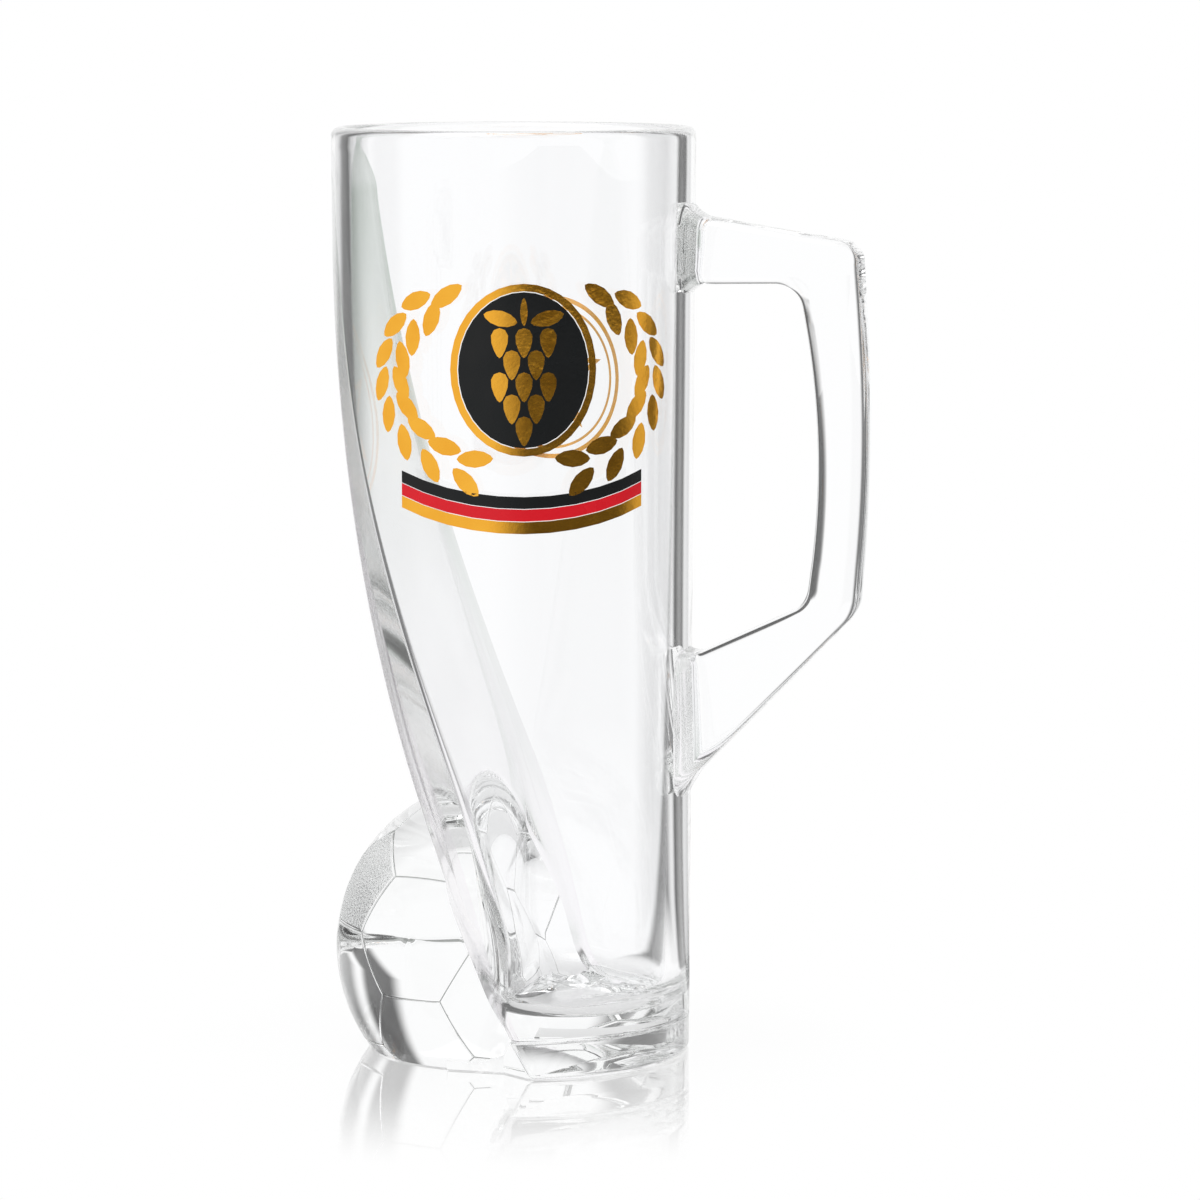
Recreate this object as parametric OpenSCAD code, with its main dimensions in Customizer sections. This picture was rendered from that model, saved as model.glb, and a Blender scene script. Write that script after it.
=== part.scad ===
// Beer mug of clear pressed glass. A tall round bowl has one side cut away by a long
// curved face, and a solid glass football sits in the space that the cut leaves at the foot.
// Z is up, the mug stands on z = 0, the handle points to +X and the football to -X.

/* [Bowl] */
// height over the rim
height = 204; // [150:1:260]
// outer diameter at the rim
rim_d = 80; // [70:0.5:110]
// outer diameter at the foot
foot_d = 77.5; // [68:0.5:108]
// wall thickness at the rim
rim_wall = 3.6; // [2.5:0.1:6]
// wall thickness at the bottom of the bowl
base_wall = 5.4; // [3:0.1:8]
// thickness of the bowl floor above the foot
floor_t = 3; // [2:0.5:10]
// rounding between the bowl floor and its wall
floor_round = 7; // [3:0.5:14]
// width of the upright pocket at the bottom, towards the football
pocket_w = 44; // [30:1:48]
// reach of the pocket past the axis
pocket_out = 2; // [0:0.5:5]
// rounding of the upright pocket corners
pocket_round = 9; // [4:0.5:12]

/* [Cut face] */
// radius of the curved cut
cut_r = 470; // [380:5:700]
// distance of the cut from the axis where it runs upright
cut_off = 39.4; // [36:0.1:46]
// height of the point where the cut runs upright
cut_z = 216; // [190:1:280]
// wall thickness behind the cut face
cut_wall = 4.6; // [3:0.1:8]
// height of the round rim left whole above the cut
rim_band = 4.5; // [3:0.5:12]

/* [Foot] */
// height of the foot plate
foot_h = 8; // [6:0.5:16]
// chamfer round the lower edge of the foot plate
foot_edge = 1; // [0.4:0.1:2]
// set-back of the bowl above the foot plate
foot_step = 0.3; // [0.2:0.05:1]
// diameter of the hollow under the foot
hollow_d = 21; // [10:0.5:22]
// depth of the hollow under the foot
hollow_depth = 1.6; // [0.6:0.1:3]
// height of the plinth between football and foot
plinth_h = 7; // [4:0.5:12]
// width of the plinth
plinth_w = 62; // [50:1:70]

/* [Football] */
// diameter
ball_d = 74.4; // [60:0.2:80]
// height of its centre over the table
ball_z = 22.4; // [15:0.2:34]
// set-out of its centre from the axis of the bowl
ball_out = 2.7; // [0:0.1:8]
// width of the seams between the panels
seam_w = 1; // [0.6:0.1:2]
// depth of the seams
seam_depth = 0.6; // [0.4:0.1:1.2]

/* [Handle] */
// thickness across the flat sides
handle_t = 12; // [8:0.5:18]
// reach of the grip from the axis
handle_reach = 79.5; // [70:0.5:100]
// thickness of the grip and of the arms where they leave it
grip_t = 10; // [7:0.5:16]
// height of the upper arm top at the grip
arm_z = 179.5; // [150:0.5:200]
// rise of the upper arm towards the bowl
arm_rise = 6; // [0:0.5:14]
// height of the outer lower corner of the grip
corner_z = 99.5; // [70:0.5:125]
// slope of the lower arm underneath, in degrees
lower_slope = 45.6; // [30:0.2:55]
// slope of the lower arm on top, in degrees
upper_slope = 25.4; // [5:0.2:35]
// radius of the bowed grip along its middle
grip_r = 360; // [200:10:800]
// rounding of the inner corners
corner_r = 6; // [3:0.5:12]
// rounding of the edges
edge_r = 3; // [1.5:0.25:4]

/* [Print] */
// thickness of the fired-on print
print_t = 0.14; // [0.1:0.02:0.4]
// height of the middle of the print
print_z = 146; // [110:1:170]
// direction of the front print round the bowl, in degrees
front_dir = 289; // [270:1:310]
// direction of the rear print round the bowl, in degrees
rear_dir = 93; // [70:1:110]
// kernels on each side of one barley ear
kernels = 8; // [4:1:10]
// radius of the barley wreath
wreath_r = 25; // [18:0.5:27]
// length of the striped band under the wreath
band_l = 56; // [30:1:62]
// height of one stripe of the band
stripe_h = 2.7; // [1.5:0.1:4]
// rise of the band towards its ends
band_sag = 5; // [0:0.5:8]
// diameter of the rear ring
ring_d = 37; // [24:0.5:48]

/* [Hidden] */
$fn = 96;
rim_r = rim_d / 2;
foot_r = foot_d / 2;
cut_x = cut_r - cut_off;
floor_z = foot_h + floor_t;
cut_top = height - rim_band;
ball_r = ball_d / 2;
handle_in = min(rim_r, foot_r) - base_wall / 2;
golden_h = 1 / sqrt(5);
// half width of every bar of the handle, seen from the side
bar_r = grip_t / 2;
// centre of the wide arc along the grip and the ends of the grip
grip_c = [handle_reach - bar_r - grip_r, (arm_z + corner_z) / 2 - 4];
grip_top = grip_at(arm_z - 0.43 * grip_t);
grip_end = grip_at(corner_z + 0.29 * grip_t);
// set-back of the pieces that join two bars, so that no two faces lie on each other
tuck = 0.02;
// unit of the front print and of the rear print
fu = wreath_r / 25;
ru = ring_d / 37;
ear_z = 5.5 * fu;
// leaves in each row of the hop cone, from the top
HOP = [3, 2, 3, 2, 1];

// outer radius of the bowl at height z
function wall_r(z) = foot_r + (rim_r - foot_r) * z / height;

// inner radius of the bowl at height z
function bore_r(z) = wall_r(z) - base_wall + (base_wall - rim_wall) * (z - floor_z) / (height - floor_z);

// distance of the cut face from the axis at height z, negative on the football side
function cut_at(z) = cut_x - sqrt(cut_r * cut_r - (cut_z - z) * (cut_z - z));

// solid cone of the outside, from z0 to z1, set out by d
module outer_cone(z0, z1, d = 0)
    translate([0, 0, z0])
        cylinder(h = z1 - z0, r1 = wall_r(z0) + d, r2 = wall_r(z1) + d);

// side of the curved cut that holds glass, moved inwards by d
module kept_side(d = 0)
    translate([cut_x, 0, cut_z])
        rotate([90, 0, 0])
            cylinder(h = 3 * rim_d, r = cut_r - d, center = true, $fn = 360);

// half section of the inside of the bowl
module bore_section() {
    r0 = bore_r(floor_z);
    r1 = bore_r(height);
    polygon([[0, floor_z], [r0 - floor_round, floor_z], [r0, floor_z + floor_round],
             [r1, height - rim_wall / 2], [r1, height + 1], [0, height + 1]]);
    intersection() {
        translate([r0 - floor_round, floor_z + floor_round])
            circle(r = floor_round);
        translate([0, floor_z])
            square([r0, floor_round]);
    }
}

// hollow inside of the bowl with its flat on the cut side
module bore() {
    intersection() {
        rotate_extrude()
            bore_section();
        union() {
            kept_side(cut_wall);
            translate([-rim_d, -rim_d, cut_top])
                cube([2 * rim_d, 2 * rim_d, rim_d]);
        }
    }
}

// upright pocket that widens the floor into the solid glass behind the football
module pocket() {
    r = pocket_round;
    l = cut_at(floor_z) + cut_wall + r + pocket_out;
    translate([-pocket_out, 0, floor_z])
        linear_extrude(ball_z + ball_r - floor_z) {
            translate([r, -pocket_w / 2])
                square([l - r, pocket_w]);
            translate([0, r - pocket_w / 2])
                square([l, pocket_w - 2 * r]);
            for (s = [-1, 1])
                translate([r, s * (pocket_w / 2 - r)])
                    circle(r = r);
        }
}

// rounded lip that closes the wall at the top
module lip() {
    r = rim_wall / 2;
    rotate_extrude()
        translate([rim_r - r, height - r])
            circle(r = r);
}

// bowl with its floor
module bowl() {
    color("#e4efe9")
        difference() {
            union() {
                intersection() {
                    outer_cone(foot_h, cut_top, 0);
                    kept_side();
                }
                translate([0, 0, cut_top])
                    cylinder(h = rim_band - rim_wall / 2, r1 = wall_r(cut_top), r2 = rim_r);
                lip();
            }
            bore();
            pocket();
            groove();
        }
}

// line round the bowl where it stands on the foot plate
module groove()
    difference() {
        translate([0, 0, foot_h])
            cylinder(h = 2 * foot_step, r = rim_d);
        translate([0, 0, foot_h - 1])
            cylinder(h = 2 * foot_step + 2, r = wall_r(foot_h) - foot_step);
    }

// solid foot plate with a hollow underneath
module foot() {
    hr = hollow_d / 2;
    sr = (hr * hr + hollow_depth * hollow_depth) / (2 * hollow_depth);
    hx = (wall_r(0) + cut_at(0)) / 2;
    color("#dcebe4")
        difference() {
            intersection() {
                union() {
                    cylinder(h = foot_edge, r1 = wall_r(0) - foot_edge, r2 = wall_r(foot_edge));
                    outer_cone(foot_edge, foot_h);
                }
                kept_side();
            }
            translate([hx, 0, hollow_depth - sr])
                sphere(r = sr, $fn = 200);
        }
}

// corner directions of the upright icosahedron behind the football panels
ICO = concat([[0, 0, 1]],
             [for (a = [216:72:504]) golden_h * [2 * cos(a), 2 * sin(a), 1]],
             [for (a = [180:72:468]) golden_h * [2 * cos(a), 2 * sin(a), -1]],
             [[0, 0, -1]]);

function near(i, j) = i != j && norm(ICO[i] - ICO[j]) < 1.2;
function unit(v) = v / norm(v);
function corner(i, j) = unit(2 * ICO[i] + ICO[j]);
function turn(i, a) =
    [for (b = [0:11]) if (near(i, b) && near(a, b) && ICO[i] * cross(ICO[a], ICO[b]) > 0) b][0];
function ring(i, a, n) = n == 0 ? [] : concat([a], ring(i, turn(i, a), n - 1));
function first(i) = [for (a = [0:11]) if (near(i, a)) a][0];
function penta(i) = [for (j = ring(i, first(i), 5)) corner(i, j)];
function hexa(i, j, k) =
    [corner(i, j), corner(j, i), corner(j, k), corner(k, j), corner(k, i), corner(i, k)];
function middle(p, n = 0) = n == len(p) ? [0, 0, 0] : p[n] + middle(p, n + 1);

// five-sided and six-sided panels that face the cut side
PANELS = concat(
    [for (i = [0:11]) if (ICO[i][0] < 0.4) penta(i)],
    [for (i = [0:11], j = [0:11], k = [0:11])
        if (i < j && i < k && near(i, j) && near(j, k) && near(k, i)
            && ICO[i] * cross(ICO[j], ICO[k]) > 0
            && (ICO[i] + ICO[j] + ICO[k])[0] < 1.0)
            hexa(i, j, k)]);

// wedge over one panel, drawn in from its edges by half a seam
module panel_wedge(p) {
    n = len(p);
    m = unit(middle(p));
    apothem = norm((p[0] + p[1]) / 2 - m * (m * p[0]));
    f = 1 - seam_w / 2 / (apothem * ball_r);
    q = [for (v = p) m * (m * v) + (v - m * (m * v)) * f];
    lo = ball_r - 3 * seam_depth;
    hi = ball_r * 1.25;
    polyhedron(
        points = concat([for (v = q) v * lo], [for (v = q) v * hi]),
        faces = concat([[for (k = [0:n - 1]) k]], [[for (k = [0:n - 1]) 2 * n - 1 - k]],
                       [for (k = [0:n - 1]) [k, k + n, (k + 1) % n + n, (k + 1) % n]]));
}

// football with sunk seams, cut flat by the table and by the bowl, and its plinth
module football() {
    x1 = cut_at(0);
    y1 = sqrt(wall_r(0) * wall_r(0) - x1 * x1);
    color("#e9f2ee")
        difference() {
            union() {
                translate([-ball_out, 0, ball_z]) {
                    sphere(r = ball_r - seam_depth, $fn = 200);
                    intersection() {
                        sphere(r = ball_r, $fn = 200);
                        for (p = PANELS)
                            panel_wedge(p);
                    }
                }
                linear_extrude(plinth_h)
                    polygon([[-ball_out - 4, -plinth_w / 2], [x1 - 7, -plinth_w / 2], [x1, -y1], [x1 + 9, 0],
                             [x1, y1], [x1 - 7, plinth_w / 2], [-ball_out - 4, plinth_w / 2]]);
            }
            kept_side();
            pocket();
            translate([-rim_d, -rim_d, -rim_d])
                cube([2 * rim_d, 2 * rim_d, rim_d]);
        }
}

// middle line of the grip at height z, points in the upright plane as [x, z]
function grip_at(z) = [grip_c[0] + sqrt(grip_r * grip_r - (z - grip_c[1]) * (z - grip_c[1])), z];

// heading of a direction in that plane
function heading(v) = atan2(v[1], v[0]);

// point on the line from p at the heading a where it reaches the wall
function at_wall(p, a) = p + [handle_in - p[0], (handle_in - p[0]) * tan(a)];

// cross section of a bar with rounded edges, along x from x0 to x1, drawn in by d all round
module bar_section(x0 = -bar_r, x1 = bar_r, d = 0) {
    t = handle_t / 2 - d;
    w = x1 - x0 - 2 * d;
    translate([x0 + d, 0]) {
        for (s = [-1, 1])
            for (x = [edge_r, w - edge_r])
                translate([x, s * (t - edge_r)])
                    circle(r = edge_r);
        translate([edge_r, -t])
            square([w - 2 * edge_r, 2 * t]);
        translate([0, edge_r - t])
            square([w, 2 * (t - edge_r)]);
    }
}

// straight bar from p to q
module straight(p, q)
    translate([p[0], 0, p[1]])
        rotate([0, 90 - heading(q - p), 0])
            linear_extrude(norm(q - p))
                bar_section();

// piece of the section from r0 to r1 swept round the point c between two headings
module swept(c, r0, r1, a0, a1, d = 0)
    translate([c[0], 0, c[1]])
        rotate([90, 0, 0])
            rotate([0, 0, a0])
                rotate_extrude(angle = a1 - a0)
                    bar_section(r0, r1, d);

// round outer corner at p
module knuckle(p)
    translate([p[0], 0, p[1]])
        rotate([90, 0, 0])
            rotate_extrude()
                intersection() {
                    bar_section(d = tuck);
                    translate([0, -handle_t])
                        square(2 * handle_t);
                }

// flat web that fills the gap between two bars
module web(points)
    rotate([90, 0, 0])
        linear_extrude(handle_t - 2 * tuck, center = true)
            polygon(points);

// bar from p at the heading a, bar from q on its way at the heading b, and the web between them
module arm(p, q, a, b) {
    straight(p, at_wall(p, a));
    straight(q, at_wall(q, b));
    web([q, at_wall(q, b), at_wall(p, a)]);
}

// handle of flat-sided bars with rounded edges, cut to sit on the wall of the bowl
module handle() {
    rise = -atan2(arm_rise, handle_reach - rim_r);
    fork = grip_end - 0.8 * grip_t * [cos(lower_slope), sin(lower_slope)];
    hole_r = grip_r - bar_r - corner_r;
    // centre of the fillet under the upper arm
    high_z = grip_top[1] - bar_r - corner_r;
    high = [grip_c[0] + sqrt(hole_r * hole_r - (high_z - grip_c[1]) * (high_z - grip_c[1])), high_z];
    // centre of the fillet over the lower arm
    e = [cos(upper_slope), sin(upper_slope)];
    p = fork + (bar_r + corner_r) * [-e[1], e[0]] - grip_c;
    low = grip_c + p + e * (sqrt((p * e) * (p * e) - p * p + hole_r * hole_r) - p * e);
    color("#e4efe9")
        difference() {
            union() {
                swept(grip_c, grip_r - bar_r, grip_r + bar_r,
                      heading(grip_end - grip_c), heading(grip_top - grip_c));
                knuckle(grip_top);
                knuckle(grip_end);
                arm(grip_top, grip_top, rise, 0);
                arm(grip_end, fork, lower_slope, upper_slope);
                swept(high, corner_r, corner_r + 0.7 * grip_t, heading(high - grip_c), 90, tuck);
                swept(low, corner_r, corner_r + 0.7 * grip_t, upper_slope - 90, heading(low - grip_c), tuck);
            }
            outer_cone(0, height + 1);
        }
}

// point of a flat drawing laid round the bowl
function lay(p) = [wall_r(print_z) * sin(p[0] * 180 / (PI * wall_r(print_z))), p[1]];

// outline of one kernel with pointed ends
function kernel(c, a, l, w) =
    [for (t = [0:30:330])
        let (u = l / 2 * cos(t), v = w / 2 * sin(t) * (0.55 + 0.45 * abs(sin(t))))
        lay([c[0] + u * cos(a) - v * sin(a), c[1] + u * sin(a) + v * cos(a)])];

// thin shell piece of the flat drawing in the given direction
module printed(dir)
    rotate([0, 0, dir + 90])
        intersection() {
            translate([0, 0, print_z])
                rotate([90, 0, 0])
                    linear_extrude(2 * rim_r)
                        children();
            rotate([0, 0, 90])
                difference() {
                    outer_cone(print_z - 2 * wreath_r, print_z + 2 * wreath_r, print_t);
                    outer_cone(print_z - 2 * wreath_r - 1, print_z + 2 * wreath_r + 1);
                }
        }

// point on the wreath, on the side s, set out by d
function wreath_at(s, a, d) =
    [s * (1.24 * wreath_r + d) * cos(a), ear_z + (0.84 * wreath_r + d) * sin(a)];

// one barley ear bent along the wreath, on the side s
module ear(s) {
    for (k = [0:kernels - 1]) {
        a = -68 + 112 * k / (kernels - 1);
        for (d = [-1, 1])
            polygon(kernel(wreath_at(s, a, 2.7 * fu * d), 90 + s * (a + 24 * d), 8 * fu, 3.8 * fu));
    }
    polygon(kernel(wreath_at(s, 57, 0), 90 + s * 56, 8.6 * fu, 3.8 * fu));
}

// oval of the given half width round the hop cone
module oval(w)
    polygon([for (t = [0:10:350]) lay([w * cos(t), ear_z + 2 * fu + (w + 2.4 * fu) * sin(t)])]);

// outline of one scale of the hop cone, round above and pointed below
function hop_scale(c, l, w) =
    [for (t = [0:30:330])
        lay([c[0] + w / 2 * sin(t) * (0.8 + 0.35 * cos(t)), c[1] + l / 2 * cos(t)])];

// hop cone: staggered rows of scales under a stem with two leaves
module hop() {
    pitch = [5.2, 4.7] * fu;
    for (r = [0:len(HOP) - 1])
        for (k = [0:HOP[r] - 1])
            polygon(hop_scale([(k - (HOP[r] - 1) / 2) * pitch[0], ear_z + 7.8 * fu - r * pitch[1]],
                              6.4 * fu, 4.3 * fu));
    polygon(kernel([0, ear_z + 14.4 * fu], 90, 6 * fu, 1.6 * fu));
    for (s = [-1, 1])
        polygon(kernel([s * 5 * fu, ear_z + 13 * fu], s * 14, 7.4 * fu, 3.4 * fu));
}

// lower edge of stripe k of the band under the wreath, at x
function band_z(x, k) = -19.4 * fu + band_sag * pow(2 * x / band_l, 2) - (k + 1) * stripe_h;

// stripe k of the band, with a fine gap to the next
module stripe(k) {
    steps = [-0.5:0.1:0.501];
    polygon(concat([for (t = steps) lay([t * band_l, band_z(t * band_l, k)])],
                   [for (t = steps) lay([-t * band_l, band_z(-t * band_l, k - 1) - 0.15 * fu])]));
}

module front_gold() {
    color("#c8921c")
        printed(front_dir) {
            ear(1);
            ear(-1);
            hop();
            stripe(2);
            difference() {
                oval(16 * fu);
                oval(14.4 * fu);
            }
        }
}

module front_black() {
    color("#17130f")
        printed(front_dir) {
            difference() {
                oval(14.2 * fu);
                hop();
            }
            stripe(0);
        }
}

module front_red() {
    color("#b3122b")
        printed(front_dir)
            stripe(1);
}

// open five-pointed star of double lines inside two rings
module rear_gold() {
    r = ring_d / 2;
    color("#c8921c")
        printed(rear_dir) {
            difference() {
                circle(r = r);
                circle(r = r - ru);
            }
            difference() {
                circle(r = r - 2.2 * ru);
                circle(r = r - 2.8 * ru);
            }
            for (k = [0:4])
                rotate(72 * k)
                    difference() {
                        polygon(ru * [[0, 0], [3.2, 5.5], [0, 14], [-3.2, 5.5]]);
                        polygon(ru * [[0, 2.4], [2, 5.7], [0, 10.9], [-2, 5.7]]);
                    }
        }
}

bowl();
foot();
football();
handle();
front_gold();
front_black();
front_red();
rear_gold();
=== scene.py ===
"""Looks of the glass beer mug: one clear glass body, fired-on prints, pale table, soft studio light."""
import math

import bmesh
import bpy
import numpy as np
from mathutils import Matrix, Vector


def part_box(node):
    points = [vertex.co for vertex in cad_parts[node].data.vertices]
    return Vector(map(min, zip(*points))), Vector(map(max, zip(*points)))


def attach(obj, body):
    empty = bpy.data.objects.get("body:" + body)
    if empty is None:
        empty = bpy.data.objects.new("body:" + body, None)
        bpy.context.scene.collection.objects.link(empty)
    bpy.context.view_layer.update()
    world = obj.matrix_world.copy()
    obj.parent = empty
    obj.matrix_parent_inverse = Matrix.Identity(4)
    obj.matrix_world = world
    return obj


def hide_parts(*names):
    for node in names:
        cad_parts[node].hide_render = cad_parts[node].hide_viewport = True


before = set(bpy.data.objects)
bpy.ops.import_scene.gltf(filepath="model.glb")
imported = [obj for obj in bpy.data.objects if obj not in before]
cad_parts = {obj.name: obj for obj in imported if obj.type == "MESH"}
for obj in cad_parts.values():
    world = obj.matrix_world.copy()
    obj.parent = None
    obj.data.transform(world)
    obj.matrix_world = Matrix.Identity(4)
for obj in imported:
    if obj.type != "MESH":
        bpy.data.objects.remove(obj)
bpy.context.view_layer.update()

# Sizes in millimetres, read from the boxes of the solids where these give them
MM = 0.001
bowl_high, foot_high, ball_high = (Vector(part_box(node)[1]) / MM for node in ("bowl", "foot", "football"))
handle_low, handle_high = (Vector(corner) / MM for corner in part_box("handle"))

HEIGHT = bowl_high.z
RIM_R = bowl_high.y
FOOT_R = 38.75
FOOT_H = foot_high.z
RIM_WALL, BASE_WALL = 3.6, 5.4
FLOOR_T, FLOOR_ROUND = 3.0, 7.0
FLOOR_Z = FOOT_H + FLOOR_T
LIP_Z = HEIGHT - RIM_WALL / 2
# Cylinder that cuts the side away: radius, reach towards the football side and height of its axis
CUT_R, CUT_OFF, CUT_Z = 470.0, 39.4, 216.0
# Football: its highest point lies this far over its middle, because the cut trims it
BALL_R = ball_high.y
BALL_TOP = 36.0
BALL_OUT = 2.7
BALL_CENTRE = np.array([-BALL_OUT, 0.0, ball_high.z - BALL_TOP])
PLINTH_H, PLINTH_W = 7.0, 62.0
HANDLE_T = handle_high.y - handle_low.y
# The glass lies this far inside the printed layers
SKIN = 0.03


def smoothstep(low, high, value):
    t = np.clip((value - low) / (high - low), 0.0, 1.0)
    return t * t * (3.0 - 2.0 * t)


def blend(low, high, start, end, value):
    """Number that runs smoothly from start to end while the value runs from low to high."""
    return start + (end - start) * float(smoothstep(low, high, value))


def wall_r(z):
    return FOOT_R + (RIM_R - FOOT_R) * z / HEIGHT - SKIN


def bore_r(z):
    return wall_r(z) - BASE_WALL + (BASE_WALL - RIM_WALL) * (z - FLOOR_Z) / (HEIGHT - FLOOR_Z)


def cut_x(z):
    """Place of the curved cut face at height z."""
    return CUT_R - CUT_OFF - math.sqrt(CUT_R**2 - (CUT_Z - z) ** 2)


# Nodes that the materials share

def new_material(name):
    mat = bpy.data.materials.new(name)
    mat.use_nodes = True
    tree = mat.node_tree
    shader = next(n for n in tree.nodes if n.type == "BSDF_PRINCIPLED")
    output = next(n for n in tree.nodes if n.type == "OUTPUT_MATERIAL")
    return mat, tree, shader, output


def add_noise(tree, scale, detail=2.0):
    place = tree.nodes.new("ShaderNodeTexCoord")
    noise = tree.nodes.new("ShaderNodeTexNoise")
    noise.inputs["Scale"].default_value = scale
    noise.inputs["Detail"].default_value = detail
    tree.links.new(place.outputs["Object"], noise.inputs["Vector"])
    return noise.outputs["Fac"]


def add_range(tree, source, low, high):
    node = tree.nodes.new("ShaderNodeMapRange")
    node.inputs["To Min"].default_value = low
    node.inputs["To Max"].default_value = high
    tree.links.new(source, node.inputs["Value"])
    return node.outputs["Result"]


def add_fade(tree, source, ends, values):
    """Value that runs smoothly between two values while the source runs between two ends."""
    node = tree.nodes.new("ShaderNodeMapRange")
    node.interpolation_type = "SMOOTHSTEP"
    for name, number in zip(("From Min", "From Max", "To Min", "To Max"), (*ends, *values)):
        node.inputs[name].default_value = number
    tree.links.new(source, node.inputs["Value"])
    return node.outputs["Result"]


def add_math(tree, operation, *values):
    node = tree.nodes.new("ShaderNodeMath")
    node.operation = operation
    for socket, value in zip(node.inputs, values):
        if isinstance(value, float):
            socket.default_value = value
        else:
            tree.links.new(value, socket)
    return node.outputs[0]


def add_colour(tree, factor, first, second):
    """Colour between two colours."""
    mix = tree.nodes.new("ShaderNodeMix")
    mix.data_type = "RGBA"
    mix.inputs["A"].default_value = (*first, 1.0)
    mix.inputs["B"].default_value = (*second, 1.0)
    tree.links.new(factor, mix.inputs["Factor"])
    return mix.outputs["Result"]


def add_blend(tree, factor, first, second):
    mix = tree.nodes.new("ShaderNodeMixShader")
    tree.links.new(factor, mix.inputs[0])
    tree.links.new(first, mix.inputs[1])
    tree.links.new(second, mix.inputs[2])
    return mix.outputs["Shader"]


def add_bump(tree, shader, height, strength, distance):
    bump = tree.nodes.new("ShaderNodeBump")
    bump.inputs["Strength"].default_value = strength
    bump.inputs["Distance"].default_value = distance
    tree.links.new(height, bump.inputs["Height"])
    tree.links.new(bump.outputs["Normal"], shader.inputs["Normal"])


# Glass

GLASS_IOR = 1.515
GLASS_TINT, GLASS_DENSITY = (0.885, 0.908, 0.888, 1.0), 2.0
GLASS_COLOUR = (0.993, 0.995, 1.0, 1.0)
CUT_COLOUR = (0.99, 0.955, 0.995, 1.0)
# Dark grey of the seams: painted shade of the sunk grooves, as the glass itself is clear
SEAM_SHADE_COLOUR = (0.22, 0.23, 0.22, 1.0)
# Greatest roughness of clear glass, of the cut face with its rounded edges, and of the seams
CLEAR_DULL, CUT_DULL, SEAM_DULL = 0.012, 0.3, 0.5
WAVE_SCALE, WAVE_BUMP = 28.0, (0.02, 0.002)
STIPPLE_SCALE, STIPPLE_ROUGH, STIPPLE_BUMP = 1900.0, (0.1, 0.4), (1.0, 0.0004)


def glass_material(name, dull=CLEAR_DULL, colour=GLASS_COLOUR, stippled=False):
    """Soda-lime glass with the faint waves of pressing, or the stippled panels of the football."""
    mat, tree, shader, output = new_material(name)
    shader.inputs["Base Color"].default_value = colour
    shader.inputs["Transmission Weight"].default_value = 1.0
    shader.inputs["IOR"].default_value = GLASS_IOR
    if stippled:
        place = tree.nodes.new("ShaderNodeTexCoord")
        dots = tree.nodes.new("ShaderNodeTexVoronoi")
        dots.inputs["Scale"].default_value = STIPPLE_SCALE
        tree.links.new(place.outputs["Object"], dots.inputs["Vector"])
        rough = add_range(tree, dots.outputs["Distance"], *STIPPLE_ROUGH)
        add_bump(tree, shader, dots.outputs["Distance"], *STIPPLE_BUMP)
    else:
        waves = add_noise(tree, WAVE_SCALE)
        rough = add_range(tree, waves, 0.0, dull)
        add_bump(tree, shader, waves, *WAVE_BUMP)
    tree.links.new(rough, shader.inputs["Roughness"])
    soak = tree.nodes.new("ShaderNodeVolumeAbsorption")
    soak.inputs["Color"].default_value = GLASS_TINT
    soak.inputs["Density"].default_value = GLASS_DENSITY
    tree.links.new(soak.outputs["Volume"], output.inputs["Volume"])
    return mat


CLEAR, STIPPLED, CUT, SHADED_SEAM = range(4)
GLASS = (
    glass_material("glass_clear"),
    glass_material("glass_stippled", stippled=True),
    glass_material("glass_cut", CUT_DULL, CUT_COLOUR),
    # Seam glass is tinted dark grey as painted shade
    glass_material("glass_seam_shade", SEAM_DULL, SEAM_SHADE_COLOUR),
)


# Meshes

def add_mesh(name, verts, faces, materials=()):
    """Mesh object from points in millimetres. materials has one index for each face, or none for clear."""
    mesh = bpy.data.meshes.new(name)
    mesh.from_pydata((np.asarray(verts) * MM).tolist(), [], faces)
    if materials:
        mesh.polygons.foreach_set("material_index", materials)
    for mat in GLASS:
        mesh.materials.append(mat)
    mesh.update()
    obj = bpy.data.objects.new(name, mesh)
    bpy.context.scene.collection.objects.link(obj)
    return obj


def tube_faces(rows, count):
    """Quads between closed rows of points, with a cap on the first and the last row."""
    faces = []
    for i in range(rows - 1):
        for j in range(count):
            k = (j + 1) % count
            faces.append((i * count + j, i * count + k, (i + 1) * count + k, (i + 1) * count + j))
    faces.append(tuple(range(count - 1, -1, -1)))
    faces.append(tuple((rows - 1) * count + j for j in range(count)))
    return faces


def weld(obj, distance):
    """Joins points that lie at the same place."""
    work = bmesh.new()
    work.from_mesh(obj.data)
    bmesh.ops.remove_doubles(work, verts=work.verts, dist=distance * MM)
    work.to_mesh(obj.data)
    work.free()


def join(obj, other, operation):
    """Boolean of two closed meshes. other is used up."""
    mod = obj.modifiers.new("join", "BOOLEAN")
    mod.operation = operation
    mod.solver = "MANIFOLD"
    mod.object = other
    bpy.context.view_layer.update()
    made = bpy.data.meshes.new_from_object(obj.evaluated_get(bpy.context.evaluated_depsgraph_get()))
    obj.modifiers.clear()
    old = obj.data
    obj.data = made
    bpy.data.meshes.remove(old)
    bpy.data.objects.remove(other)


def build_prism(name, outline, low, high):
    """Upright prism over an outline."""
    verts = [(x, y, z) for z in (low, high) for x, y in outline]
    return add_mesh(name, verts, tube_faces(2, len(outline)))


# Bowl and foot, as stacks of rings with one side cut off

# Steps on one ring: arc of the round wall, each rounded edge, cut face
ARC_N, EDGE_N, FACE_N = 200, 36, 150
RING_N = ARC_N + FACE_N + 2 * EDGE_N
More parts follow.
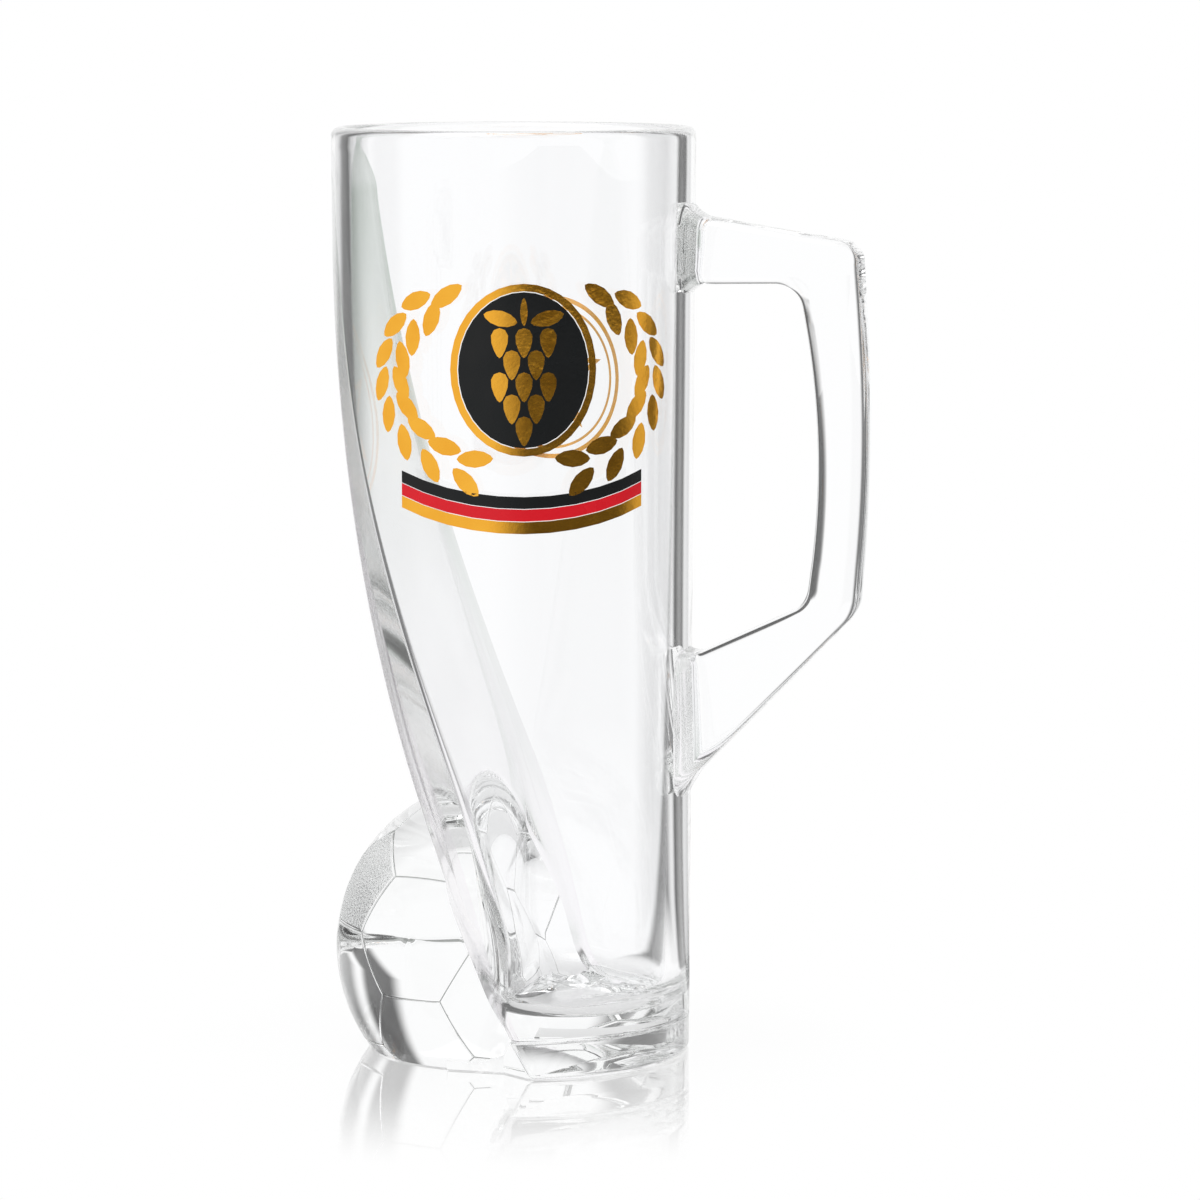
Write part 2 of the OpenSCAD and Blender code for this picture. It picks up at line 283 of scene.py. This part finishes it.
# Rounding of the cut edges: outside above and at the foot, inside above and at the floor
OUTER_EDGE, FOOT_EDGE, INNER_EDGE, FLOOR_EDGE = 8.0, 2.0, 3.2, 12.0
OUTER_EDGE_FROM, OUTER_EDGE_TO = 5.0, 60.0
INNER_EDGE_FROM, INNER_EDGE_TO = 22.0, 58.0
# The cut runs out into the round rim between these heights
RIM_FROM, RIM_TO = HEIGHT - 14.0, HEIGHT - 3.0
# The inside flat is turned a little, thickens downwards and stands upright where the football backs it
INNER_TURN = math.radians(5.2)
INNER_FLAT, INNER_FLAT_SOFT = -2.0, 3.0
WALL_TOP, WALL_LOW = 4.2, 7.4
WALL_FROM, WALL_TO = 55.0, 150.0
# Mould line over the foot, and rounding between the cut face and the football
NOTCH_Z, NOTCH_DEPTH, NOTCH_HALF = FOOT_H + 0.1, 0.35, 0.3
BALL_FILLET = 1.8
# Rings lie closest at the mould line and close up to the fine heights, and a set number reach the lip
BODY_LOW, NOTCH_TOP, FINE_Z, CAVITY_FINE_Z = FOOT_H - 1.0, FOOT_H + 2.0, 64.0, 70.0
NOTCH_STEP, FINE_STEP, CAVITY_STEP, UPPER_ROWS = 0.15, 0.6, 0.8, 110
# Points on the roundings of the lip, the floor and the foot
LIP_N, FLOOR_N, FOOT_N = 20, 16, 8
# The cut takes off at least this much, and the cavity is open above the lip
LEAST_CUT, CAVITY_TOP = 0.05, HEIGHT + 5.0
FOOT_LOW_ROUND, FOOT_TOP_ROUND, FOOT_CORNER, FOOT_CUT_SHARE = 1.2, 0.5, 0.8, 0.4
HOLLOW_R, HOLLOW_DEPTH, HOLLOW_BELOW = 10.5, 1.6, 1.0
HOLLOW_ROWS, HOLLOW_N, HOLLOW_END = 24, 96, math.radians(89.5)


def cut_ring(r, c, edge):
    """Closed ring: circle of radius r with the side below x = c cut off and its two edges rounded."""
    c = max(c, -r + LEAST_CUT)
    cx = c + edge
    reach = r - edge
    alpha = math.acos(max(-1.0, min(1.0, cx / reach)))
    cy = math.sqrt(max(reach**2 - cx**2, 0.0))
    arc = np.linspace(-alpha, alpha, ARC_N + 1)
    turn = np.linspace(alpha, math.pi, EDGE_N + 1)[1:]
    back = np.linspace(math.pi, 2.0 * math.pi - alpha, EDGE_N + 1)[1:-1]
    x = (r * np.cos(arc), cx + edge * np.cos(turn), np.full(FACE_N, c), cx + edge * np.cos(back))
    y = (r * np.sin(arc), cy + edge * np.sin(turn), np.linspace(cy, -cy, FACE_N + 1)[1:],
         -cy + edge * np.sin(back))
    return np.stack([np.concatenate(x), np.concatenate(y)], axis=1)


def lay_rows(rows):
    """Stack of cut rings given as (z, radius, cut, edge rounding)."""
    return np.concatenate([np.column_stack([cut_ring(r, c, e), np.full(RING_N, z)]) for z, r, c, e in rows])


def cut_out(z):
    """Cut face on the outside."""
    return blend(RIM_FROM, RIM_TO, cut_x(z), -wall_r(z), z)


def cut_in(z):
    """Flat on the inside."""
    sloped = cut_x(z) + blend(WALL_FROM, WALL_TO, WALL_LOW, WALL_TOP, z)
    flat = (sloped + INNER_FLAT - math.hypot(sloped - INNER_FLAT, INNER_FLAT_SOFT)) / 2
    return blend(RIM_FROM, RIM_TO, flat, -bore_r(z), z)


def edge_out(z):
    return blend(OUTER_EDGE_FROM, OUTER_EDGE_TO, FOOT_EDGE, OUTER_EDGE, z)


def edge_in(z):
    return blend(INNER_EDGE_FROM, INNER_EDGE_TO, FLOOR_EDGE, INNER_EDGE, z)


def swell(points, count):
    """Cut face that swells towards the football, as poured glass does."""
    gap = np.linalg.norm(points - BALL_CENTRE, axis=1) - BALL_R
    place = np.tile(np.arange(RING_N), count) - (ARC_N + EDGE_N + FACE_N / 2)
    on_face = (np.abs(place) <= FACE_N / 2 + EDGE_N) & (points[:, 2] > FOOT_H)
    lift = np.clip(BALL_FILLET - np.maximum(gap, 0.0), 0.0, None) ** 2 / (2.0 * BALL_FILLET)
    points[:, 0] -= np.where(on_face, lift, 0.0)
    return points


def lip_rows():
    """Half round of the lip, from the outside over the top to the inside."""
    rows = []
    for turn in np.linspace(0.0, math.pi, LIP_N)[1:]:
        part = (1.0 - math.cos(turn)) / 2
        rows.append((LIP_Z + RIM_WALL / 2 * math.sin(turn),
                     wall_r(LIP_Z) + (bore_r(LIP_Z) - wall_r(LIP_Z)) * part,
                     cut_out(LIP_Z) + (cut_in(LIP_Z) - cut_out(LIP_Z)) * part,
                     OUTER_EDGE + (INNER_EDGE - OUTER_EDGE) * part))
    return rows


def build_body():
    """Outside of the bowl with its lip, still solid inside."""
    heights = np.concatenate([np.arange(BODY_LOW, NOTCH_TOP, NOTCH_STEP),
                              np.arange(NOTCH_TOP, FINE_Z, FINE_STEP),
                              np.linspace(FINE_Z, LIP_Z, UPPER_ROWS)])
    rows = []
    for z in heights:
        notch = NOTCH_DEPTH * math.exp(-(((z - NOTCH_Z) / NOTCH_HALF) ** 2))
        rows.append((z, wall_r(z) - notch, cut_out(z), edge_out(z)))
    lip = lip_rows()
    points = np.concatenate([swell(lay_rows(rows), len(rows)), lay_rows(lip)])
    total = len(rows) + len(lip)
    mats = np.full((total - 1, RING_N), CLEAR)
    mats[:len(rows) - 1, ARC_N:] = CUT
    return add_mesh("mug_glass", points, tube_faces(total, RING_N), [*mats.ravel().tolist(), CLEAR, CLEAR])


def build_cavity():
    """Inside of the bowl, from above the rim down to the floor and its rounding."""
    rows = [(CAVITY_TOP, bore_r(LIP_Z), cut_in(LIP_Z), INNER_EDGE)]
    upper = np.linspace(LIP_Z, CAVITY_FINE_Z, UPPER_ROWS)
    lower = np.arange(CAVITY_FINE_Z - 1.0, FLOOR_Z + FLOOR_ROUND, -CAVITY_STEP)
    for z in np.concatenate([upper, lower]):
        rows.append((z, bore_r(z), cut_in(z), edge_in(z)))
    for turn in np.linspace(0.0, math.pi / 2, FLOOR_N)[1:]:
        z = FLOOR_Z + FLOOR_ROUND * (1.0 - math.sin(turn))
        inset = FLOOR_ROUND * (1.0 - math.cos(turn))
        rows.append((z, bore_r(z) - inset, cut_in(z) + inset, FLOOR_EDGE))
    x, y, z = lay_rows(rows).T
    c, s = math.cos(INNER_TURN), math.sin(INNER_TURN)
    turned = np.column_stack([c * x - s * y, s * x + c * y, z])
    obj = add_mesh("cavity", turned, tube_faces(len(rows), RING_N))
    obj.data.flip_normals()
    return obj


def build_foot():
    """Foot plate with rounded edges."""
    turns = np.linspace(0.0, math.pi / 2, FOOT_N)
    edges = [(FOOT_LOW_ROUND * (1.0 - math.cos(t)), FOOT_LOW_ROUND * (1.0 - math.sin(t))) for t in turns]
    edges += [(FOOT_H - FOOT_TOP_ROUND * (1.0 - math.sin(t)), FOOT_TOP_ROUND * (1.0 - math.cos(t)))
              for t in turns]
    rows = [(z, wall_r(z) - inset, cut_x(z) + inset * FOOT_CUT_SHARE, FOOT_CORNER) for z, inset in edges]
    return add_mesh("foot_skin", lay_rows(rows), tube_faces(len(rows), RING_N))


def build_hollow():
    """Dome that cuts the shallow hollow under the foot."""
    r = (HOLLOW_R**2 + HOLLOW_DEPTH**2) / (2.0 * HOLLOW_DEPTH)
    x, z = (wall_r(0.0) + cut_x(0.0)) / 2, HOLLOW_DEPTH - r
    rises = np.linspace(math.asin((-HOLLOW_BELOW - z) / r), HOLLOW_END, HOLLOW_ROWS)
    turns = np.linspace(0.0, 2.0 * math.pi, HOLLOW_N, endpoint=False)
    points = []
    for rise in rises:
        ring_r, ring_z = r * math.cos(rise), z + r * math.sin(rise)
        points += [(x + ring_r * math.cos(turn), ring_r * math.sin(turn), ring_z) for turn in turns]
    return add_mesh("hollow", points, tube_faces(len(rises), len(turns)))


# Football and its plinth

# The plinth starts under the ball, narrows before the foot and reaches into it
PLINTH_START, PLINTH_TAPER, PLINTH_INTO, PLINTH_TUCK = -BALL_OUT - 4.0, 7.0, 8.0, 6.0
PLINTH_INSET = 0.4
# Only the foot touches the table
PLINTH_LOW, BALL_LOW = 0.08, 0.05
SEAM_HALF, SEAM_DEPTH = 0.4, 0.18
# Steps from the middle of a panel to its edge, close together at the seam, and along the edge
PANEL_STEPS = np.array([0.0, 0.14, 0.28, 0.42, 0.56, 0.68, 0.78, 0.86,
                        0.91, 0.935, 0.95, 0.96, 0.97, 0.98, 0.99, 1.0])
EDGE_STEPS = np.linspace(0.0, 1.0, 17)
# The seam starts at this step, and the stipple ends before this one
SEAM_FROM, STIPPLE_TO = 0.99, 0.935
# Stippled panels have their middle's direction below these shares along x and y
STIPPLE_X, STIPPLE_Y = -0.5, 0.1
PANEL_WELD = 0.004
# Corners of the icosahedron that share an edge lie between these distances
NEIGHBOUR_FROM, NEIGHBOUR_TO = 0.1, 1.2


def build_plinth():
    x = cut_x(0.0)
    y = math.sqrt(wall_r(0.0) ** 2 - x**2) - PLINTH_INSET
    side = [(PLINTH_START, PLINTH_W / 2), (x - PLINTH_TAPER, PLINTH_W / 2), (x, y),
            (x + PLINTH_INTO, y - PLINTH_TUCK)]
    outline = [(px, -py) for px, py in side] + side[::-1]
    return build_prism("plinth_skin", outline, PLINTH_LOW, PLINTH_H)


def icosahedron():
    """Corner directions of an upright icosahedron with one lower corner towards the football side."""
    ring_z, ring_r = 1.0 / math.sqrt(5.0), 2.0 / math.sqrt(5.0)
    corners = [(0.0, 0.0, 1.0), (0.0, 0.0, -1.0)]
    for k in range(5):
        for start, z in ((216.0, ring_z), (180.0, -ring_z)):
            a = math.radians(start + 72.0 * k)
            corners.append((ring_r * math.cos(a), ring_r * math.sin(a), z))
    return np.array(corners)


def panels():
    """Corner directions of each football panel, in order round the panel."""
    ico = icosahedron()
    apart = np.linalg.norm(ico[:, None] - ico[None], axis=2)
    joined = (apart > NEIGHBOUR_FROM) & (apart < NEIGHBOUR_TO)
    corners = {}
    for i in range(12):
        for j in np.flatnonzero(joined[i]):
            p = 2.0 * ico[i] + ico[j]
            corners[i, j] = p / np.linalg.norm(p)
    found = [[corners[i, j] for j in np.flatnonzero(joined[i])] for i in range(12)]
    for i in range(12):
        for j in range(i):
            for k in range(j):
                if joined[i, j] and joined[j, k] and joined[i, k]:
                    found.append([corners[a, b] for a in (i, j, k) for b in (i, j, k) if a != b])
    for panel in found:
        middle = np.mean(panel, axis=0)
        side = np.cross(middle, panel[0])
        other = np.cross(middle, side)
        panel.sort(key=lambda p: math.atan2(p @ other, p @ side))
    return found


def panel_material(five_sided, middle, step):
    """Dull seams in dark grey glass that paints their shade, stipple on the near five-sided panels of the
    open side, clear glass elsewhere.
    """
    if step >= SEAM_FROM:
        return SHADED_SEAM
    near_open_side = middle[0] < STIPPLE_X and middle[1] < STIPPLE_Y
    return STIPPLED if five_sided and near_open_side and step < STIPPLE_TO else CLEAR


def panel_points(middle, a, b):
    """Points of a panel between its middle and one edge, sunk at the seam."""
    edge_normal = np.cross(a, b)
    edge_normal /= np.linalg.norm(edge_normal)
    points = []
    for t in PANEL_STEPS:
        for u in EDGE_STEPS:
            d = (1.0 - t) * middle + t * ((1.0 - u) * a + u * b)
            d = d / np.linalg.norm(d)
            away = BALL_R * math.asin(min(1.0, abs(d @ edge_normal)))
            points.append(BALL_CENTRE + d * (BALL_R - blend(0.0, SEAM_HALF, SEAM_DEPTH, 0.0, away)))
    return points


def build_ball():
    """Football with sunk seams, cut off just over the table."""
    verts, faces, mats = [], [], []
    w = len(EDGE_STEPS)
    for panel in panels():
        middle = np.mean(panel, axis=0)
        for a, b in zip(panel, panel[1:] + panel[:1]):
            outward = np.cross(a, b) @ middle > 0
            for i, step in enumerate(PANEL_STEPS[:-1]):
                start = len(verts) + i * w
                for p in range(start, start + w - 1):
                    face = (p, p + w, p + w + 1, p + 1)[:4 if i else 3]
                    faces.append(face if outward else face[::-1])
                    mats.append(panel_material(len(panel) == 5, middle, step))
            verts += panel_points(middle, a, b)
    ball = add_mesh("ball_skin", verts, faces, mats)
    weld(ball, PANEL_WELD)
    far = 90.0
    square = [(-far, -far), (far, -far), (far, far), (-far, far)]
    join(ball, build_prism("below", square, -far, BALL_LOW), "DIFFERENCE")
    return ball


# Handle

GRIP_T, GRIP_BOW, GRIP_MID_Z = 10.0, 2.2, 135.5
# The grip is thicker at its upper and lower end, and its bow is rounded off from these points
GRIP_MORE_TOP, GRIP_MORE_LOW = 2.9, 0.9
BOW_OUT, BOW_IN = GRIP_BOW / 3, GRIP_BOW * 0.7
ARM_Z, ARM_T, ARM_RISE, ARM_DROP = 179.5, 8.8, 6.0, 0.5
# Radii on the outer and the inner line: upper corner, bow of the grip, lower corner
OUTER_TOP_R, OUTER_BOW_R, OUTER_LOW_R = 5.0, 330.0, 8.0
INNER_TOP_R, INNER_BOW_R, INNER_LOW_R = 6.0, 170.0, 6.0
CORNER_Z, INNER_CORNER_UP = 99.5, 1.8
LOWER_SLOPE, UPPER_SLOPE = math.tan(math.radians(45.6)), math.tan(math.radians(25.4))
# The rounding of the grip takes this much off the reach, and the arms end inside the wall
HANDLE_X = handle_high.x + 0.35
ROOT_X = FOOT_R - 1.4
HANDLE_EDGE, HANDLE_SKIN, ROOT_FILLET = 3.0, 0.02, 4.5
# Points on the three rounded corners, on the arms near the wall above and below, and between
ARC_POINTS, UPPER_POINTS, LOWER_POINTS, GRIP_POINTS = (16, 34, 16), 70, 90, 10
CORNER_N = 9
QUARTERS = ((1, 1, 0.0), (-1, 1, math.pi / 2), (-1, -1, math.pi), (1, -1, 1.5 * math.pi))


def arc_corner(before, corner, after, r, count):
    """Points of the arc that rounds a corner."""
    v = np.array(corner)
    ua = np.array(before) - v
    uc = np.array(after) - v
    ua /= np.linalg.norm(ua)
    uc /= np.linalg.norm(uc)
    half = math.acos(ua @ uc) / 2
    mid = (ua + uc) / np.linalg.norm(ua + uc)
    centre = v + mid * r / math.sin(half)
    p0 = v + ua * r / math.tan(half) - centre
    p1 = v + uc * r / math.tan(half) - centre
    sweep = math.acos(np.clip(p0 @ p1 / r**2, -1.0, 1.0))
    steps = np.linspace(0.0, 1.0, count)[:, None]
    return centre + (np.sin((1.0 - steps) * sweep) * p0 + np.sin(steps * sweep) * p1) / math.sin(sweep)


def handle_path(start, corners, end):
    """Line from start to end through rounded corners (x, z, radius), with fixed numbers of points."""
    line = [start, *(corner[:2] for corner in corners), end]
    points = [np.array(start)]
    for k, (x, z, r) in enumerate(corners):
        arc = arc_corner(line[k], (x, z), line[k + 2], r, ARC_POINTS[k])
        count = GRIP_POINTS if k else UPPER_POINTS
        points += [*np.linspace(points[-1], arc[0], count)[1:-1], *arc]
    points += list(np.linspace(points[-1], np.array(end), LOWER_POINTS)[1:])
    return np.array(points)


def handle_lines():
    """Outer and inner line of the handle as seen from the side."""
    out_x = HANDLE_X - GRIP_BOW
    in_top_x, in_low_x = out_x - GRIP_T - GRIP_MORE_TOP, out_x - GRIP_T - GRIP_MORE_LOW
    under, in_low_z = ARM_Z - ARM_T, CORNER_Z + INNER_CORNER_UP
    rise = ARM_RISE * (out_x - ROOT_X) / (out_x - RIM_R)
    outer = handle_path((ROOT_X, ARM_Z + rise),
                        ((out_x, ARM_Z, OUTER_TOP_R),
                         (HANDLE_X + BOW_OUT, GRIP_MID_Z, OUTER_BOW_R),
                         (out_x, CORNER_Z, OUTER_LOW_R)),
                        (ROOT_X, CORNER_Z - (out_x - ROOT_X) * LOWER_SLOPE))
    inner = handle_path((ROOT_X, under - ARM_DROP),
                        ((in_top_x, under, INNER_TOP_R),
                         (HANDLE_X - GRIP_T + BOW_IN, GRIP_MID_Z, INNER_BOW_R),
                         (in_low_x, in_low_z, INNER_LOW_R)),
                        (ROOT_X, in_low_z - (in_low_x - ROOT_X) * UPPER_SLOPE))
    return outer, inner


def root_flare(gap):
    """Widening of the handle at this distance from the wall."""
    return max(0.0, ROOT_FILLET - max(gap, 0.0)) ** 2 / (2.0 * ROOT_FILLET)


def handle_section(p, q):
    """Ring with rounded corners between a point on the outer and a point on the inner line."""
    centre, along = (p + q) / 2, (p - q) / np.linalg.norm(p - q)
    half_u = np.linalg.norm(p - q) / 2 - HANDLE_EDGE
    half_v = HANDLE_T / 2 - HANDLE_SKIN - HANDLE_EDGE
    turn = np.linspace(0.0, math.pi / 2, CORNER_N)
    ring = []
    for side_u, side_v, start in QUARTERS:
        for out_u, out_v in zip(np.cos(turn + start), np.sin(turn + start)):
            u, v = side_u * half_u + HANDLE_EDGE * out_u, side_v * half_v + HANDLE_EDGE * out_v
            x, z = centre + along * u
            flare = root_flare(math.hypot(x, v) - wall_r(z))
            x, z = centre + along * (u + out_u * flare)
            ring.append((x, v + out_v * flare, z))
    return ring


def build_handle():
    """Flat-sided handle with rounded edges that flares where it meets the wall."""
    rings = [handle_section(p, q) for p, q in zip(*handle_lines())]
    obj = add_mesh("handle_skin", [p for ring in rings for p in ring], tube_faces(len(rings), 4 * CORNER_N))
    obj.data.flip_normals()
    return obj


# Edges that turn more than this are shaded sharp
SHARP_TURN = math.radians(20.0)


def build_glass():
    """All glass as one closed body, since real fused glass has no faces inside."""
    glass = build_body()
    for piece in (build_foot(), build_plinth(), build_ball(), build_handle()):
        join(glass, piece, "UNION")
    for space in (build_cavity(), build_hollow()):
        join(glass, space, "DIFFERENCE")
    glass.data.shade_smooth()
    glass.data.set_sharp_from_angle(angle=SHARP_TURN)
    return glass


# Prints: colour, colour of its clouds, metallic, roughness

GOLD = ((0.95, 0.50, 0.06), (0.82, 0.36, 0.03), 1.0, 0.12)
BLACK = ((0.004, 0.006, 0.007), (0.012, 0.012, 0.012), 0.0, 0.25)
RED = ((0.74, 0.012, 0.022), (0.62, 0.008, 0.018), 0.0, 0.25)
# Noise as scale and detail, and the least and greatest share of the roughness
CLOUD_NOISE, GRAIN_NOISE, GRAIN_BUMP = (160.0, 4.0), (900.0, 3.0), (0.08, 0.0003)
PRINT_GLOSS, ROUGH_SHARES = 0.2, (0.7, 1.4)


def print_material(name, colour, cloudy, metal, rough):
    """Fired-on print: colour with slight cloudiness and an uneven surface."""
    mat, tree, shader, output = new_material(name)
    cloud = add_noise(tree, *CLOUD_NOISE)
    tree.links.new(add_colour(tree, cloud, cloudy, colour), shader.inputs["Base Color"])
    shader.inputs["Metallic"].default_value = metal
    shader.inputs["Specular IOR Level"].default_value = PRINT_GLOSS
    uneven = add_range(tree, cloud, *(rough * share for share in ROUGH_SHARES))
    tree.links.new(uneven, shader.inputs["Roughness"])
    add_bump(tree, shader, add_noise(tree, *GRAIN_NOISE), *GRAIN_BUMP)
    return mat


def dress():
    """Glass body in place of the glass solids, and print colours on the printed ones."""
    glass = build_glass()
    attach(glass, "root")
    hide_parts("bowl", "foot", "football", "handle")
    gold = print_material("print_gold", *GOLD)
    black = print_material("print_black", *BLACK)
    red = print_material("print_red", *RED)
    looks = {"front_gold": gold, "rear_gold": gold, "front_black": black, "front_red": red}
    for node, mat in looks.items():
        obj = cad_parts[node]
        obj.data.materials.clear()
        obj.data.materials.append(mat)


# Table, surroundings, light and camera

# Bright panels stand round the mug, with darker gaps: heading, half width and soft edge in degrees, light,
# and the distances in metres on the table over which they set in
GAPS = (
    (68.0, 8.5, 3.0, 0.10, 0.05, 0.11),
    (34.0, 17.0, 5.0, 0.20, 0.12, 0.25),
    (154.0, 20.0, 6.0, 0.18, 0.12, 0.25),
)
# This gap lies on the table alone, and only reflections show it
NEAR_GAP = (325.0, 42.0, 14.0, 0.10, 0.35, 0.6)
# Glass also shows a darker roof, between these upward shares of the direction
ROOF_LIGHT, ROOF_ENDS = 0.12, (0.5, 0.75)
# The table mirrors the foot of the mug and turns plain white over these distances from the axis
MIRROR_NEAR, MIRROR_FAR, MIRROR_SHARE = 0.045, 0.125, 0.5
SHADOW_FAR, SHADOW_SHARE = 0.09, 0.08
# Painted shadow under the mug: light of the table there as the glass shows it, fading out over these
# distances from the axis
UNDER_SHADOW_LIGHT, UNDER_SHADOW_ENDS = 0.7, (0.02, 0.07)
WHITE = (1.0, 1.0, 1.0, 1.0)
# Table in metres: side, and depth below the foot, with the two tones and the noise of its matt shadow
TABLE_SIDE, TABLE_DROP = 8.0, 0.0002
TABLE_TONES, TABLE_NOISE = ((0.93, 0.93, 0.935), (0.96, 0.96, 0.96)), (5.0, 3.0)
TABLE_ROUGH, MIRROR_ROUGH = 0.6, 0.01
LAMP_SIDE, LAMP_POWER = 1.0, 6.0
LAMP_PLACE, LAMP_AIM = (-0.3, -0.2, 1.4), (0.0, 0.0, 0.1)
# Camera as fitted to the rim and the foot in the photograph
CAMERA_AZIMUTH, CAMERA_DISTANCE, CAMERA_HEIGHT = 16.0, 1.150, 0.2368
CAMERA_YAW, CAMERA_PITCH, CAMERA_LENS = 0.94, 6.8, 157.2
# Light bounces many times in thick glass
BOUNCES = 64


def add_panels(tree, axis, away=None, gaps=GAPS):
    """Light of the panels in the direction that axis gives by its x and y, and at a distance on the table."""
    heading = add_math(tree, "ARCTAN2", axis.outputs["Y"], axis.outputs["X"])
    light = None
    for middle, half, soft, dark, near, far in gaps:
        turned = add_math(tree, "SUBTRACT", heading, math.radians(middle))
        aside = add_math(tree, "PINGPONG", turned, math.pi)
        gap = add_fade(tree, aside, (math.radians(half - soft), math.radians(half + soft)), (dark, 1.0))
        if away is not None:
            gap = add_math(tree, "MAXIMUM", gap, add_fade(tree, away, (near, far), (1.0, 0.0)))
        light = gap if light is None else add_math(tree, "MULTIPLY", light, gap)
    return light


def table_place(tree):
    """Place on the table as x and y, and its distance from the axis of the mug."""
    place = tree.nodes.new("ShaderNodeTexCoord")
    axis = tree.nodes.new("ShaderNodeSeparateXYZ")
    length = tree.nodes.new("ShaderNodeVectorMath")
    length.operation = "LENGTH"
    tree.links.new(place.outputs["Object"], axis.inputs[0])
    tree.links.new(place.outputs["Object"], length.inputs[0])
    return axis, length.outputs["Value"]


def table_material():
    """White table with a soft shadow, a painted shadow under the mug that the camera does not see directly,
    and a mirror image of the foot that fades away from the mug.
    """
    mat, tree, shader, output = new_material("table_white")
    pale = add_colour(tree, add_noise(tree, *TABLE_NOISE), *TABLE_TONES)
    tree.links.new(pale, shader.inputs["Base Color"])
    shader.inputs["Roughness"].default_value = TABLE_ROUGH
    shader.inputs["Specular IOR Level"].default_value = 0.0
    axis, away = table_place(tree)
    # Glass and metal see the gaps on the table too, and reflections the near gap. The camera sees white
    path = tree.nodes.new("ShaderNodeLightPath")
    # Painted shadow: the table's light is lowered under the mug for all rays but camera rays
    under = add_fade(tree, away, UNDER_SHADOW_ENDS, (UNDER_SHADOW_LIGHT, 1.0))
    dimmed = add_math(tree, "MULTIPLY", under, add_panels(tree, axis, away))
    near = add_panels(tree, axis, away, (NEAR_GAP,))
    near = add_math(tree, "MAXIMUM", near, path.outputs["Is Transmission Ray"])
    dimmed = add_math(tree, "MULTIPLY", dimmed, near)
    white = tree.nodes.new("ShaderNodeEmission")
    seen = add_math(tree, "MAXIMUM", path.outputs["Is Camera Ray"], dimmed)
    tree.links.new(seen, white.inputs["Strength"])
    mirror = tree.nodes.new("ShaderNodeBsdfGlossy")
    mirror.inputs["Color"].default_value = WHITE
    mirror.inputs["Roughness"].default_value = MIRROR_ROUGH
    # Neither shadow nor mirror shows through the glass
    direct = add_math(tree, "SUBTRACT", 1.0, path.outputs["Is Transmission Ray"])
    shade = add_fade(tree, away, (MIRROR_NEAR, SHADOW_FAR), (SHADOW_SHARE, 0.0))
    shine = add_fade(tree, away, (MIRROR_NEAR, MIRROR_FAR), (MIRROR_SHARE, 0.0))
    shade, shine = (add_math(tree, "MULTIPLY", direct, share) for share in (shade, shine))
    matt = add_blend(tree, shade, white.outputs["Emission"], shader.outputs["BSDF"])
    tree.links.new(add_blend(tree, shine, matt, mirror.outputs["BSDF"]), output.inputs["Surface"])
    return mat


def build_table():
    bpy.ops.mesh.primitive_plane_add(size=TABLE_SIDE, location=(0.0, 0.0, -TABLE_DROP))
    table = bpy.context.object
    table.name = "table"
    table.data.materials.append(table_material())


def build_world():
    """White surroundings: plain white to the camera, panels with darker gaps in glass and metal."""
    world = bpy.data.worlds.new("studio")
    bpy.context.scene.world = world
    world.use_nodes = True
    tree = world.node_tree
    place = tree.nodes.new("ShaderNodeTexCoord")
    axis = tree.nodes.new("ShaderNodeSeparateXYZ")
    tree.links.new(place.outputs["Generated"], axis.inputs[0])
    path = tree.nodes.new("ShaderNodeLightPath")
    direct = add_math(tree, "SUBTRACT", 1.0, path.outputs["Is Transmission Ray"])
    roof = add_fade(tree, axis.outputs["Z"], ROOF_ENDS, (1.0, ROOF_LIGHT))
    room = add_math(tree, "MULTIPLY", add_panels(tree, axis), add_math(tree, "MAXIMUM", direct, roof))
    back = tree.nodes["Background"]
    tree.links.new(add_math(tree, "MAXIMUM", room, path.outputs["Is Camera Ray"]), back.inputs["Strength"])
    back.inputs["Color"].default_value = WHITE


def build_lights():
    """One large soft lamp over the mug."""
    lamp = bpy.data.lights.new("overhead", "AREA")
    lamp.shape = "SQUARE"
    lamp.size = LAMP_SIDE
    lamp.energy = LAMP_POWER
    obj = bpy.data.objects.new("overhead", lamp)
    obj.location = LAMP_PLACE
    obj.rotation_euler = (Vector(LAMP_AIM) - obj.location).to_track_quat("-Z", "Y").to_euler()
    bpy.context.scene.collection.objects.link(obj)


def build_camera():
    azimuth = math.radians(CAMERA_AZIMUTH)
    heading = math.radians(CAMERA_AZIMUTH - CAMERA_YAW)
    pitch = math.radians(CAMERA_PITCH)
    data = bpy.data.cameras.new("camera")
    data.sensor_width = 36.0
    data.lens = CAMERA_LENS
    data.clip_end = 50.0
    cam = bpy.data.objects.new("camera", data)
    aside, back = math.sin(azimuth) * CAMERA_DISTANCE, math.cos(azimuth) * CAMERA_DISTANCE
    cam.location = (aside, -back, CAMERA_HEIGHT)
    level = math.cos(pitch)
    ahead = Vector((-math.sin(heading) * level, math.cos(heading) * level, -math.sin(pitch)))
    cam.rotation_euler = ahead.to_track_quat("-Z", "Y").to_euler()
    bpy.context.scene.collection.objects.link(cam)
    bpy.context.scene.camera = cam


scene = bpy.context.scene
scene.view_settings.view_transform = "Standard"
scene.cycles.max_bounces = BOUNCES
scene.cycles.transmission_bounces = BOUNCES
scene.cycles.glossy_bounces = BOUNCES
dress()
build_table()
build_world()
build_lights()
build_camera()
